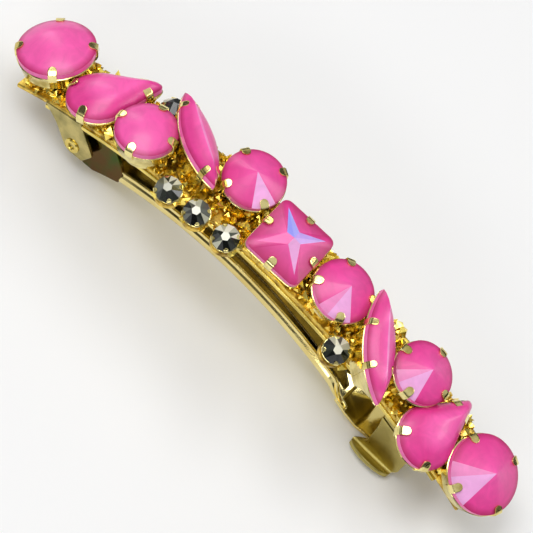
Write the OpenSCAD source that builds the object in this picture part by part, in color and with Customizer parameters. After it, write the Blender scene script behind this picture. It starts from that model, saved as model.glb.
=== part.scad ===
// French barrette with a row of eleven large set stones.
// +X runs from the hinge end to the clasp end, +Y to the back edge, +Z up out of the stones.
// The clip lies on its finger wings and its hinge ears, with the lever closed.

/* [Arch] */
// Radius of the arched surface through the stones' girdles
girdle_r = 105.6; // [100:0.1:115]
// Height of that surface above the stone base
girdle_rise = 4.2; // [4:0.1:4.6]
// Thickness of the stone base
base_t = 0.8; // [0.6:0.1:1]
// Length of the stone base along the girdle arch
base_len = 100; // [98:1:102]
// Half width of the stone base
base_half_w = 5.2; // [4.8:0.1:5.4]

/* [Top plate] */
// Length of the plate along the girdle arch
plate_len = 88; // [86:1:92]
// Half width of the plate
plate_half_w = 5.4; // [5.3:0.1:5.6]
// Thickness of the plate
plate_t = 0.7; // [0.5:0.1:0.8]
// Depth of the rolled rims below the plate
rim_depth = 0.4; // [0.2:0.1:0.5]

/* [Hinge] */
// Radius of the hinge pin
pin_r = 1.0; // [0.9:0.05:1.1]
// Radial play of the lever on the pin
pin_play = 0.05; // [0.03:0.01:0.1]
// Radius of the rounded end of each hinge ear
ear_r = 1.9; // [1.8:0.05:2]
// Radius of the lever's rolled end
lug_r = 1.8; // [1.75:0.05:1.85]

/* [Lever] */
// Radius of the lever's lower face
lever_r = 66; // [66:0.5:66.5]
// Depth of the lever's channel
lever_depth = 3.4; // [3:0.1:3.6]
// Half width of the lever's channel
lever_half_w = 4.0; // [3.8:0.1:4.1]
// Thickness of the lever's sheet
lever_t = 0.6; // [0.5:0.1:0.7]

/* [Tension spring] */
// Radius of the bowed leaf's lower face
leaf_r = 50.5; // [50:0.1:51]
// Thickness of the leaf
leaf_t = 0.35; // [0.25:0.05:0.4]
// Half width of the leaf
leaf_half_w = 2.6; // [2.2:0.1:2.9]

/* [Clasp] */
// Thickness of the clasp's spring sheet
leg_t = 0.6; // [0.5:0.05:0.65]
// Inner radius of the finger wing's roll
wing_r = 1.2; // [1.1:0.1:1.3]
// Sideways gap between a catch and the lever's window
catch_gap = 0.08; // [0.05:0.01:0.2]

/* [Stones] */
// Half height of a large stone's girdle
girdle_half = 0.4; // [0.3:0.05:0.45]
// Diameter of a small dark stone
dark_d = 4.2; // [4:0.1:4.3]
// Width of a large claw
claw_w = 1.3; // [1.1:0.1:1.5]

/* [Hidden] */
$fn = 64;
eps = 0.01;
film = 0.02;

// Large seats: [kind, length, width, place along the arch, y, lift, pitch, roll, turn, claws], where claws is
// the first claw's angle under a round stone and the claws' distance along a navette as a share of its length
seats = [
    ["round", 12.2, 12.2, -46.6, 0.7, 0.3, 0, 1.5, 0, 35],
    ["drop", 15.6, 9.6, -34.1, 0.2, -1.0, -2, 0, 53, 0],
    ["round", 9.7, 9.7, -25.65, -3.15, 0.5, 0, 3, 0, 8],
    ["navette", 17.2, 5.2, -18.5, -0.15, 2.3, 8, -12, -36, 0.36],
    ["round", 9.8, 9.8, -9.1, 2.3, 0, 1, 6, 0, 59],
    ["square", 10, 10, 1.4, -1.6, 0, 2, 8, 3, 0],
    ["round", 9.8, 9.8, 11.95, -0.7, 0, 3, 2, 0, 32],
    ["navette", 17.6, 5.3, 21.3, -3.3, 1.5, 8, -5, -49, 0.19],
    ["round", 9.8, 9.8, 28.8, 0.4, 0.5, 0, 0, 0, 3],
    ["drop", 15.6, 9.6, 36.9, -1.9, -1.2, 0, 2, 84, 0],
    ["round", 12.2, 12.2, 46.7, -0.9, 0.2, -3, 4, 0, 72]
];

// Small seats: [place along the arch, y, lift, roll]
dark_seats = [
    [-17.6, -6.9, -2.7, 22],
    [-11.9, -6.95, -2.6, 22],
    [-6.0, -6.9, -2.6, 24],
    [17.7, -6.9, -2.4, 22],
    [-26.9, 5.4, -2.6, -18]
];

seat_h = 22.2;
shift_x = -0.313;
shift_y = 1.238;
base_top_r = girdle_r - girdle_rise;
plate_top_r = base_top_r - base_t;
plate_low_r = plate_top_r - plate_t;

pin_x = -33.8;
pin_z = -16.8;
ear_in = plate_half_w - plate_t;
lug_out = lever_half_w;

lever_x = -3;
lever_z = -80.3;
leaf_x = -2.75;
leaf_z = -61.85;

leg_in = 4.4;
leg_out = leg_in + leg_t;
leg_mid = leg_in + leg_t / 2;
leg_axis_a = [28.7, -11.5];
leg_axis_b = [35.9, -13.95];
leg_low = -20.4;
wing_x = [27.4, 35.3];
window_x = [29.9, 34.4];
window_half = 1.5;

function two(i) = str(i < 10 ? "0" : "", i);
function setting_name(i) = str("setting_", two(i + 1), "_", seats[i][0]);
function stone_name(i) = str("stone_", two(i + 1), "_", seats[i][0]);
function dark_name(i) = str("dark_stone_", two(i + 1));
function small_name(i) = str("small_setting_", two(i + 1));
function arch_deg(s) = s / girdle_r * 180 / PI;

large = [0 : len(seats) - 1];
small = [0 : len(dark_seats) - 1];

gold = [0.86, 0.74, 0.36];
pink = [0.93, 0.3, 0.6];
smoke = [0.3, 0.32, 0.3];

// ---- placing ----

module in_frame() {
    translate([shift_x, shift_y, seat_h]) children();
}

// Lays a shape that was turned about Z on the Y axis: its start points up and its angle runs to +X
module about_y() {
    rotate([-90, 0, 0]) rotate([0, 0, -90]) children();
}

// A section, x outward and y across, carried round an arch about a point under it
module bow(x, z, from, to) {
    translate([x, 0, z]) about_y() rotate_extrude(angle = to - from, start = from, $fn = 180) children();
}

// A flat outline in x and z, made a sheet from y0 to y1
module sheet(y0, y1) {
    translate([0, y1, 0]) rotate([90, 0, 0]) linear_extrude(y1 - y0) children();
}

module on_arch(s, y, lift) {
    translate([0, 0, -girdle_r]) rotate([0, arch_deg(s), 0]) translate([0, y, girdle_r + lift]) children();
}

module at_seat(p) {
    on_arch(p[3], p[4], p[5]) rotate([0, p[6], 0]) rotate([p[7], 0, 0]) rotate([0, 0, p[8]]) children();
}

module at_dark(p) {
    on_arch(p[0], p[1], p[2]) rotate([p[3], 0, 0]) children();
}

// The space under the stone base's upper face, which trims every setting's foot
module under_base() {
    translate([0, 0, -girdle_r]) rotate([90, 0, 0]) cylinder(r = base_top_r + film, h = 60, center = true, $fn = 180);
}

// ---- stones ----

module drop_outline(len, wid) {
    a = wid / 2;
    tip = len - a;
    rise = acos(a / tip);
    turn = 360 - 2 * rise;
    steps = 24;
    translate([-(len - wid) / 2, 0]) polygon(concat(
        [[tip, 0]],
        [for (k = [0 : steps]) let (b = rise + turn * k / steps) [a * cos(b), a * sin(b)]]
    ));
}

module navette_outline(len, wid) {
    r = (len * len + wid * wid) / 4 / wid;
    intersection() {
        translate([0, r - wid / 2]) circle(r, $fn = 128);
        translate([0, wid / 2 - r]) circle(r, $fn = 128);
    }
}

module square_outline(len) {
    c = 0.14 * len;
    flat = len / 2 - c;
    square([len, 2 * flat], center = true);
    square([2 * flat, len], center = true);
    for (x = [-flat, flat], y = [-flat, flat]) translate([x, y]) circle(c);
}

module outline(kind, len, wid) {
    if (kind == "drop") drop_outline(len, wid);
    if (kind == "navette") navette_outline(len, wid);
    if (kind == "square") square_outline(len);
}

// A round stone has a pointed crown and a pointed back of the same slope
module round_stone(d) {
    r = d / 2;
    tall = girdle_half + d / 4;
    rotate_extrude() polygon([[0, -tall], [r, -girdle_half], [r, girdle_half], [0, tall]]);
}

// A fancy stone is its outline, drawn in to a small table above and to a short keel below
module fancy_stone(kind, len, wid) {
    crown = 2.2;
    back = kind == "navette" ? 1.6 : 2.4;
    skin = 0.02;
    hull() {
        translate([0, 0, -girdle_half]) linear_extrude(2 * girdle_half) outline(kind, len, wid, $fn = 32);
        translate([0, 0, girdle_half + crown - skin])
            linear_extrude(skin) outline(kind, len * 0.35, wid * 0.35, $fn = 24);
        translate([0, 0, -girdle_half - back])
            linear_extrude(skin) outline(kind, len * 0.12, wid * 0.12, $fn = 24);
    }
}

module pink_stone(i) {
    p = seats[i];
    color(pink) in_frame() at_seat(p)
        if (p[0] == "round") round_stone(p[1]);
        else fancy_stone(p[0], p[1], p[2]);
}

module dark_stone(i) {
    r = dark_d / 2;
    color(smoke) in_frame() at_dark(dark_seats[i])
        rotate_extrude() polygon([[0, -1.4], [r, -0.15], [r, 0.15], [r * 0.55, 0.8], [0, 0.8]]);
}

// ---- settings ----

// A claw stands outside the girdle and folds over the crown's rim; its origin is the girdle's edge
module claw(wid, foot, depth, slope, k = 1) {
    gap = 0.04;
    reach = 0.95 * k;
    under = girdle_half * k + gap;
    rotate([90, 0, 0]) translate([0, 0, -wid / 2]) linear_extrude(wid) polygon([
        [-foot - 0.5 * k, -depth],
        [-foot + 0.4 * k, -depth],
        [0.6 * k, -0.9 * k],
        [0.6 * k, under + 0.15 * k],
        [0.25 * k, under + 0.55 * k],
        [-0.5 * reach, under + slope * reach + 0.42 * k],
        [-reach, under + slope * reach + 0.3 * k],
        [-reach, under + slope * reach],
        [gap, under],
        [gap, -girdle_half * k],
        [-0.65 * k, -1.05 * k]
    ]);
}

module at_edge(x, y, a) {
    translate([x, y, 0]) rotate([0, 0, a]) children();
}

module round_setting(d, turn) {
    r = d / 2;
    depth = girdle_rise + 1.4;
    foot = 2.3;
    seat_z = -girdle_half - 0.55;
    rotate_extrude() polygon([
        [r - foot - 0.4, -depth], [r - foot, -depth], [r - 0.55, seat_z], [r - 1.0, seat_z]
    ]);
    for (k = [0 : 3]) {
        a = turn + 90 * k;
        at_edge(r * cos(a), r * sin(a), a) claw(claw_w, foot, depth, 0.5);
    }
}

module gallery(kind, len, wid, in, depth) {
    wall = 0.45;
    seat_z = -girdle_half - 1.5;
    long = kind == "navette" ? 0.76 * len : len - 2 * in;
    wide = wid - 2 * in;
    difference() {
        translate([0, 0, -depth]) linear_extrude(depth + seat_z) outline(kind, long, wide);
        translate([0, 0, -depth - 1]) linear_extrude(depth) outline(kind, long - 2 * wall, wide - 2 * wall);
    }
}

// Claws hold a fancy stone at [x, y, angle] on its outline
function claw_places(kind, len, wid, share) =
    kind == "square" ? [for (k = [0 : 3]) [len / 2 * cos(90 * k), len / 2 * sin(90 * k), 90 * k]]
    : kind == "drop" ? drop_claws(len, wid)
    : navette_claws(len, wid, share);

function drop_claws(len, wid) =
    let (a = wid / 2, tip = len - a, off = -(len - wid) / 2, rise = acos(a / tip), along = 0.62,
         sx = a * cos(rise), sy = a * sin(rise))
    [for (side = [-1, 1], end = [0, 1])
        end == 0 ? [off + a * cos(135), side * a * sin(135), side * 135]
        : [off + sx + (tip - sx) * along, side * sy * (1 - along), side * rise]];

function navette_claws(len, wid, share) =
    let (r = (len * len + wid * wid) / 4 / wid, a = asin(len * share / r))
    [for (side = [-1, 1], end = [-1, 1])
        [end * r * sin(a), side * (r * cos(a) - r + wid / 2), side * (90 - end * a)]];

module fancy_setting(kind, len, wid, lift, share) {
    depth = girdle_rise + lift + 1.6;
    in = kind == "navette" ? 1.1 : 1.3;
    k = kind == "navette" ? 0.75 : 1;
    slope = kind == "navette" ? 1.55 : kind == "drop" ? 1.02 : 0.74;
    gallery(kind, len, wid, in, depth);
    for (c = claw_places(kind, len, wid, share))
        at_edge(c[0], c[1], c[2]) claw(claw_w * k, in + 1, depth, slope, k);
}

module setting(i) {
    p = seats[i];
    color(gold) in_frame() difference() {
        at_seat(p)
            if (p[0] == "round") round_setting(p[1], p[9]);
            else fancy_setting(p[0], p[1], p[2], p[5], p[9]);
        under_base();
    }
}

module small_setting(i) {
    r = dark_d / 2;
    depth = 3.4;
    foot = 0.75;
    color(gold) in_frame() difference() {
        at_dark(dark_seats[i]) {
            rotate_extrude() polygon([
                [r - foot - 0.35, -depth], [r - foot, -depth], [r - 0.3, -0.5], [r - 0.65, -0.62]
            ]);
            for (k = [0 : 3]) {
                a = 45 + 90 * k;
                at_edge(r * cos(a), r * sin(a), a) claw(0.7, foot, depth, 0.75, 0.42);
            }
        }
        under_base();
    }
}

// ---- the arched strip and the plate ----

module stone_base() {
    half = arch_deg(base_len / 2);
    color(gold) in_frame() {
        bow(0, -girdle_r, -half, half)
            translate([plate_top_r + film, -base_half_w]) square([base_t - film, 2 * base_half_w]);
        for (p = dark_seats) intersection() {
            bow(0, -girdle_r, -half, half)
                translate([plate_top_r + film, -12]) square([base_t - film, 24]);
            on_arch(p[0], p[1] * 0.96, -girdle_rise - base_t - 1) cylinder(r = dark_d / 2, h = 6);
        }
    }
}

module ear_outline() {
    polygon([
        [-41.0, -13.2], [-34.2, -10.9], [-30.2, -15.6], [-31.3, -18.3], [pin_x, pin_z - ear_r + 0.05], [-35.3, -17.9],
        [-37.9, -15.1]
    ]);
    translate([pin_x, pin_z]) circle(ear_r);
}

module top_plate() {
    half = arch_deg(plate_len / 2);
    rim_from = arch_deg(-35.5);
    rim_to = arch_deg(28.5);
    color(gold) in_frame() difference() {
        union() {
            bow(0, -girdle_r, -half, half)
                translate([plate_low_r, -plate_half_w]) square([plate_t, 2 * plate_half_w]);
            for (side = [-1, 1])
                bow(0, -girdle_r, rim_from, rim_to)
                    translate([plate_low_r - rim_depth, side * (plate_half_w - plate_t / 2) - plate_t / 2])
                        square([rim_depth + eps, plate_t]);
            difference() {
                for (y0 = [-plate_half_w, ear_in]) sheet(y0, y0 + plate_t) ear_outline();
                translate([0, 0, -girdle_r]) rotate([90, 0, 0])
                    difference() {
                        cylinder(r = girdle_r + 5, h = 40, center = true, $fn = 180);
                        cylinder(r = plate_low_r + 0.2, h = 50, center = true, $fn = 180);
                    }
            }
        }
        translate([pin_x, 0, pin_z]) rotate([90, 0, 0]) cylinder(r = pin_r + 0.01, h = 40, center = true);
        at_rivets() translate([0, 0, -12]) cylinder(r = rivet_r, h = 20);
    }
}

// ---- hinge pin, lever and tension spring ----

// A hollow pin with a low collar rolled over each ear
module hinge_pin() {
    bore = 0.6;
    end = plate_half_w + 0.3;
    collar = pin_r + 0.3;
    color(gold) in_frame() translate([pin_x, 0, pin_z]) rotate([90, 0, 0]) rotate_extrude() polygon([
        [bore, -end], [collar, -end], [collar, -plate_half_w - 0.02], [pin_r, -plate_half_w - 0.02],
        [pin_r, plate_half_w + 0.02], [collar, plate_half_w + 0.02], [collar, end], [bore, end]
    ]);
}

// Half of a shallow channel's section: x is the height, and the lower corners are round
module tray(h, half, c) {
    translate([c, -half]) square([h - c, 2 * half]);
    translate([0, c - half]) square([c, 2 * (half - c)]);
    for (m = [-1, 1]) translate([c, m * (half - c)]) circle(c, $fn = 32);
}

module channel_section() {
    c = 1.2;
    translate([lever_r, 0]) difference() {
        tray(lever_depth, lever_half_w, c);
        translate([lever_t, 0]) tray(lever_depth, lever_half_w - lever_t, c - lever_t);
    }
}

function lever_deg(x) = asin((x - lever_x) / lever_r);

module lever_plan() {
    polygon([
        [16, -3.9], [20.2, -4.25], [24, -4.1], [29.6, -3.3], [34.4, -3.0], [35.8, -1.9],
        [35.8, 1.9], [34.4, 3.0], [29.6, 3.3], [24, 4.1], [20.2, 4.25], [16, 3.9]
    ]);
}

// The tongue bends out of the arch into a nearly flat end
module tongue() {
    t = 0.7;
    bend = [26.4, -21.2];
    tip = [36, -21.85];
    intersection() {
        union() {
            bow(lever_x, lever_z, lever_deg(16), lever_deg(bend[0]))
                translate([lever_r + 0.04, -5]) square([t, 10]);
            sheet(-5, 5) polygon([bend + [-0.1, 0], tip, tip + [0, t], bend + [0.2, t], bend + [-0.25, t - 0.1]]);
        }
        translate([0, 0, -40]) linear_extrude(40) difference() {
            lever_plan();
            translate([window_x[0], -window_half]) square([window_x[1] - window_x[0], 2 * window_half]);
        }
    }
}

module lug_outline() {
    translate([pin_x, pin_z]) circle(lug_r);
    polygon([
        [pin_x, pin_z + lug_r - 0.02], [-31.6, -12.2], [-28.2, -10.9], [-25.0, -14.9], [-25.0, -17.6], [-28.0, -19.3],
        [-29.3, -20.4], [-31.6, -20.6], [-32.4, -19.8], [-33.2, -18.3], [pin_x, pin_z]
    ]);
}

module lever() {
    color(gold) in_frame() difference() {
        union() {
            bow(lever_x, lever_z, lever_deg(-28.5), lever_deg(21.5)) channel_section();
            tongue();
            for (y0 = [0.03 - lug_out, lug_out - lever_t + 0.03]) sheet(y0, y0 + lever_t - 0.06) lug_outline();
            rolled_end();
        }
        translate([pin_x, 0, pin_z]) rotate([90, 0, 0]) cylinder(r = pin_r + pin_play, h = 40, center = true);
    }
}

// The floor sheet curls up behind the pin
module rolled_end() {
    wide = lug_out - 0.3;
    r = lug_r - 0.13;
    translate([pin_x, 0, pin_z]) about_y()
        rotate_extrude(angle = 160, start = 170) translate([r - lever_t, -wide]) square([lever_t, 2 * wide]);
    sheet(-wide, wide) polygon([
        [pin_x + 0.2, pin_z - r + 0.05], [-28.2, -19.3], [-28.2, -18.75], [pin_x + 0.2, pin_z - r + 0.5]
    ]);
}

module tension_spring() {
    from = asin((-27 - leaf_x) / leaf_r);
    to = asin((21.6 - leaf_x) / leaf_r);
    color(gold) in_frame() difference() {
        bow(leaf_x, leaf_z, from, to)
            translate([leaf_r, -leaf_half_w]) square([leaf_t, 2 * leaf_half_w]);
        translate([0, 0, -30]) linear_extrude(20) polygon([[18.6, 0], [23, -2.1], [23, 2.1]]);
    }
}

// ---- clasp ----

rivet_r = 0.75;

module at_rivets() {
    for (y = [-2, 2]) on_arch(34.3, y, 0) children();
}

// A saddle riveted under the plate, with a short flange over each leg
module clasp_bridge() {
    from = arch_deg(30.7);
    to = arch_deg(38.6);
    lift = 0.42;
    color(gold) in_frame() difference() {
        union() {
            bow(0, -girdle_r, from, to) translate([plate_low_r - leg_t, -leg_out]) square([leg_t - film, 2 * leg_out]);
            difference() {
                for (y0 = [-leg_out, leg_in]) sheet(y0, y0 + leg_t) polygon([
                    leg_axis_a + [0.2, lift], leg_axis_b + [-0.2, lift], [35.7, -11.5], [28.9, -9]
                ]);
                translate([0, 0, -girdle_r]) rotate([90, 0, 0]) difference() {
                    cylinder(r = girdle_r, h = 40, center = true, $fn = 180);
                    cylinder(r = plate_low_r - 0.2, h = 50, center = true, $fn = 180);
                }
            }
        }
        at_rivets() translate([0, 0, -12]) cylinder(r = rivet_r, h = 20);
    }
}

module clasp_rivets() {
    top = plate_top_r - girdle_r - 0.06;
    low = plate_low_r - leg_t - girdle_r;
    head = 0.45;
    color(gold) in_frame() at_rivets() {
        translate([0, 0, low]) cylinder(r = rivet_r - 0.01, h = top - low);
        translate([0, 0, low - head]) cylinder(r = 1.3, h = head - 0.03);
    }
}

// The leg hangs in a plane along X, and its lower edge rolls outward into the finger wing
module leg() {
    away = leg_out + wing_r;
    sheet(-leg_out, -leg_in) polygon([
        leg_axis_a, leg_axis_b, [36, leg_low], [29.2, leg_low]
    ]);
    span = leg_axis_b - leg_axis_a;
    translate([leg_axis_a[0], -leg_mid, leg_axis_a[1]]) rotate([0, 90 - atan2(span[1], span[0]), 0])
        cylinder(r = leg_t / 2, h = norm(span), $fn = 32);
    translate([wing_x[0], -away, leg_low]) rotate([90, 0, 90]) linear_extrude(wing_x[1] - wing_x[0])
        difference() {
            circle(wing_r + leg_t, $fn = 48);
            circle(wing_r, $fn = 48);
            translate([-4, 0]) square([8, 4]);
            rotate([0, 0, 135]) square([4, 4]);
        }
}

// A catch reaches over the lever's tongue, goes down its window and ends in an outward nib
module catch_arm(x0, x1) {
    nib = window_half - catch_gap;
    translate([x0, 0, 0]) rotate([90, 0, 90]) linear_extrude(x1 - x0) polygon([
        [-leg_mid, -19.5], [-0.6, -19.5], [-0.6, -22.15], [-nib, -22.15], [-nib + 0.1, -21.85],
        [-1.05, -21.75], [-1.05, -20.05], [-leg_mid, -20.05]
    ]);
}

module front_wing() {
    color(gold) in_frame() {
        leg();
        catch_arm(30.6, 31.9);
    }
}

module rear_wing() {
    color(gold) in_frame() mirror([0, 1, 0]) {
        leg();
        catch_arm(32.4, 33.7);
    }
}

top_plate();
stone_base();
hinge_pin();
lever();
tension_spring();
clasp_bridge();
clasp_rivets();
front_wing();
rear_wing();
for (i = large) setting(i);
for (i = large) pink_stone(i);
for (i = small) small_setting(i);
for (i = small) dark_stone(i);
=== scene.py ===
import math

import bmesh
import bpy
import numpy as np
from mathutils import Matrix, Vector


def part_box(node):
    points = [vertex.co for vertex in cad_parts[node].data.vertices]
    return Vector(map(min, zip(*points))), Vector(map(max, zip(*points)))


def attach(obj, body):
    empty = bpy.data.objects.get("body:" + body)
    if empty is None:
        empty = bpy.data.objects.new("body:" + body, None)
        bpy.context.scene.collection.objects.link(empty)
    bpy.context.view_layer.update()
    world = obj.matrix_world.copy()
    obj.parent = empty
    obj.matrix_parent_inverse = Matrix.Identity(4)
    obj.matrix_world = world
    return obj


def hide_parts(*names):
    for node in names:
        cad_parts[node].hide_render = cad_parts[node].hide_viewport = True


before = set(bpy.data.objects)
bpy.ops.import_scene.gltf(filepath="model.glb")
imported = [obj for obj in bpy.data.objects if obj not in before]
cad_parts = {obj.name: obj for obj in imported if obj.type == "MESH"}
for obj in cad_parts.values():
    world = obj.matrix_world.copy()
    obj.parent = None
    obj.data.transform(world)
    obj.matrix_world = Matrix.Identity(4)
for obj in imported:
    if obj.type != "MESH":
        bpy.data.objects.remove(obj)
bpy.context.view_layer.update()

# ---- Table and camera ----
# The clip lies on a plain pale table and is seen from in front and above, with the camera rolled so
# that the clip runs across the view's diagonal. Lengths here and below are in millimetres from the
# crown of the arch that runs through the stones' girdles, 16.8 above the hinge pin and 33.8 from it.
pin_low, pin_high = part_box("hinge_pin")
crown = (pin_low + pin_high) / 2 + Vector((0.0338, 0, 0.0168))


def in_row(points):
    """Millimetres from the arch's crown, turned into metres in the row's frame."""
    return np.asarray(points, float) * 0.001 + np.array(crown)


def turned(axis, degrees):
    """The 3 by 3 matrix of a right-handed turn about X, Y or Z."""
    return np.array(Matrix.Rotation(math.radians(degrees), 3, axis))


look_at = np.array([0, 0, -5.28])
azimuth, elevation, roll = np.radians([9.16, 57.83, 36.23])
camera_far, slid_right, slid_up = 437, -1.72, -3.04
back = np.array([
    math.sin(azimuth) * math.cos(elevation), -math.cos(azimuth) * math.cos(elevation),
    math.sin(elevation),
])
level = np.array([math.cos(azimuth), math.sin(azimuth), 0])
upright = np.cross(back, level)
right = math.cos(roll) * level + math.sin(roll) * upright
up = -math.sin(roll) * level + math.cos(roll) * upright
camera = bpy.data.objects.new("camera", bpy.data.cameras.new("camera"))
camera.data.sensor_width = 36
camera.data.lens = 198.9
camera.data.clip_start, camera.data.clip_end = 0.01, 10
camera_place = in_row(look_at + camera_far * back + slid_right * right + slid_up * up)
camera.matrix_world = Matrix.Translation(camera_place) @ Matrix(np.column_stack([right, up, back])).to_4x4()
bpy.context.scene.collection.objects.link(camera)
bpy.context.scene.camera = camera
bpy.context.scene.view_settings.view_transform = "Standard"

table_mesh = bpy.data.meshes.new("table")
table_half = 3.0
table_corners = [(x * table_half, y * table_half, 0) for x, y in ((-1, -1), (1, -1), (1, 1), (-1, 1))]
table_mesh.from_pydata(table_corners, [], [(0, 1, 2, 3)])
table = bpy.data.objects.new("table", table_mesh)
bpy.context.scene.collection.objects.link(table)
table_paint = bpy.data.materials.new("pale table")
table_paint.use_nodes = True
table_nodes, table_links = table_paint.node_tree.nodes, table_paint.node_tree.links
table_nodes["Principled BSDF"].inputs["Base Color"].default_value = (0.93, 0.93, 0.93, 1)
table_nodes["Principled BSDF"].inputs["Roughness"].default_value = 0.9
# Seen from below the table is clear, so that the open lever and the underside can be looked at
table_side = table_nodes.new("ShaderNodeNewGeometry")
table_clear = table_nodes.new("ShaderNodeBsdfTransparent")
table_mix = table_nodes.new("ShaderNodeMixShader")
table_links.new(table_side.outputs["Backfacing"], table_mix.inputs["Fac"])
table_links.new(table_nodes["Principled BSDF"].outputs["BSDF"], table_mix.inputs[1])
table_links.new(table_clear.outputs["BSDF"], table_mix.inputs[2])
table_links.new(table_mix.outputs["Shader"], table_nodes["Material Output"].inputs["Surface"])
table_mesh.materials.append(table_paint)

# Soft boxes hang over the table, each [where it hangs, its two sides, its power], and face the clip
clip_middle = Vector((0, 0, 0.01))
for place, sides, power in (
    ((-0.25, -0.15, 0.75), (0.45, 0.45), 2.6),
    ((0.45, 0.35, 0.55), (0.5, 0.16), 1.3),
    ((0.1, -0.7, 0.42), (0.6, 0.12), 1.0),
    ((-0.6, 0.3, 0.3), (0.12, 0.5), 0.6),
):
    lamp = bpy.data.objects.new("soft_box", bpy.data.lights.new("soft_box", "AREA"))
    lamp.data.shape = "RECTANGLE"
    lamp.data.size, lamp.data.size_y = sides
    lamp.data.energy = power
    lamp.location = place
    lamp.rotation_mode = "QUATERNION"
    lamp.rotation_quaternion = (clip_middle - Vector(place)).to_track_quat("-Z", "Y")
    bpy.context.scene.collection.objects.link(lamp)

# The room is a white tent with two dark gaps in it, which polished metal needs to look like metal
room = bpy.data.worlds.new("room")
bpy.context.scene.world = room
room.use_nodes = True
room_nodes, room_links = room.node_tree.nodes, room.node_tree.links
sky = room_nodes.new("ShaderNodeTexCoord")
height = room_nodes.new("ShaderNodeSeparateXYZ")
bands = room_nodes.new("ShaderNodeValToRGB")
room_links.new(sky.outputs["Generated"], height.inputs["Vector"])
room_links.new(height.outputs["Z"], bands.inputs["Fac"])
room_links.new(bands.outputs["Color"], room_nodes["Background"].inputs["Color"])
room_nodes["Background"].inputs["Strength"].default_value = 0.6
stops = (
    (0.0, 0.02), (0.16, 0.03), (0.24, 0.75), (0.42, 0.9), (0.5, 0.1), (0.64, 0.06), (0.72, 1.0), (1.0, 1.0),
)
while len(bands.color_ramp.elements) < len(stops):
    bands.color_ramp.elements.new(0.5)
for element, (where, grey) in zip(bands.color_ramp.elements, stops):
    element.position = where
    element.color = (grey, grey, grey, 1)

# ---- Top plate ----
# The spring clasp's body is a strip of 0.7 mm sheet bowed to the arch, with both long edges rolled
# down. An ear is bent down from each edge at the hinge end to carry the pin.
GIRDLE_R = 105.6
PLATE_TOP_R = 100.6
GOLD_LEMON = (0.93, 0.74, 0.2)
GOLD_OLIVE = (0.5, 0.38, 0.08)


def grid_of(x, y, z):
    """One grid of points from x, y and z, each of them a number, a row, a column or a grid."""
    return np.stack(np.broadcast_arrays(x, y, z), -1)


def polar(radius, angles):
    """Points round a circle: (radius cos a, radius sin a) for each angle a."""
    return radius * np.column_stack([np.cos(angles), np.sin(angles)])


def surface_mesh(name, grids, flat_faces=()):
    """One mesh from several grids of points. Each grid is (points, joined across rows, joined across
    columns); every cell becomes a four-sided face, and a joined side runs back to the first row or column.
    flat_faces are lists of points that each become one flat face."""
    corners, faces, start = [], [], 0
    for points, rows_join, columns_join in grids:
        rows, columns = points.shape[:2]
        number = start + np.arange(rows * columns).reshape(rows, columns)
        if rows_join:
            number = np.vstack([number, number[:1]])
        if columns_join:
            number = np.hstack([number, number[:, :1]])
        cells = np.stack([number[:-1, :-1], number[1:, :-1], number[1:, 1:], number[:-1, 1:]], -1)
        faces += cells.reshape(-1, 4).tolist()
        corners.append(points.reshape(-1, 3))
        start += rows * columns
    for points in flat_faces:
        faces.append(list(range(start, start + len(points))))
        corners.append(np.asarray(points, float))
        start += len(points)
    mesh = bpy.data.meshes.new(name)
    mesh.from_pydata(in_row(np.vstack(corners)).tolist(), [], faces)
    return mesh


def close_up(mesh, merge=0.002):
    """Merges corners closer than merge mm, drops empty faces and points every face outwards."""
    work = bmesh.new()
    work.from_mesh(mesh)
    bmesh.ops.remove_doubles(work, verts=work.verts, dist=merge * 0.001)
    bmesh.ops.dissolve_degenerate(work, edges=work.edges, dist=1e-8)
    bmesh.ops.recalc_face_normals(work, faces=work.faces)
    work.to_mesh(mesh)
    work.free()
    return mesh


def piece(mesh, body, finish, slot, nodes=(), wall=0, side=-1, bevel=0, crease=35):
    """A finished piece that rides on a body and stands for CAD nodes. wall is its sheet's thickness in
    mm, laid to side -1 (behind the surface), 0 (both) or 1 (before it), and bevel rounds its edges."""
    made = bpy.data.objects.new(mesh.name, mesh)
    bpy.context.scene.collection.objects.link(made)
    mesh.materials.append(finish)
    mesh.shade_smooth()
    mesh.set_sharp_from_angle(angle=math.radians(crease))
    if wall:
        sheet = made.modifiers.new("sheet", "SOLIDIFY")
        sheet.thickness = wall * 0.001
        sheet.offset = side
        sheet.use_even_offset = False
    if bevel:
        edge = made.modifiers.new("edge", "BEVEL")
        edge.width = bevel * 0.001
        edge.segments = 2
        edge.limit_method = "ANGLE"
        edge.angle_limit = math.radians(40)
        edge.harden_normals = False
    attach(made, body)
    if nodes:
        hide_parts(*nodes)


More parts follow.
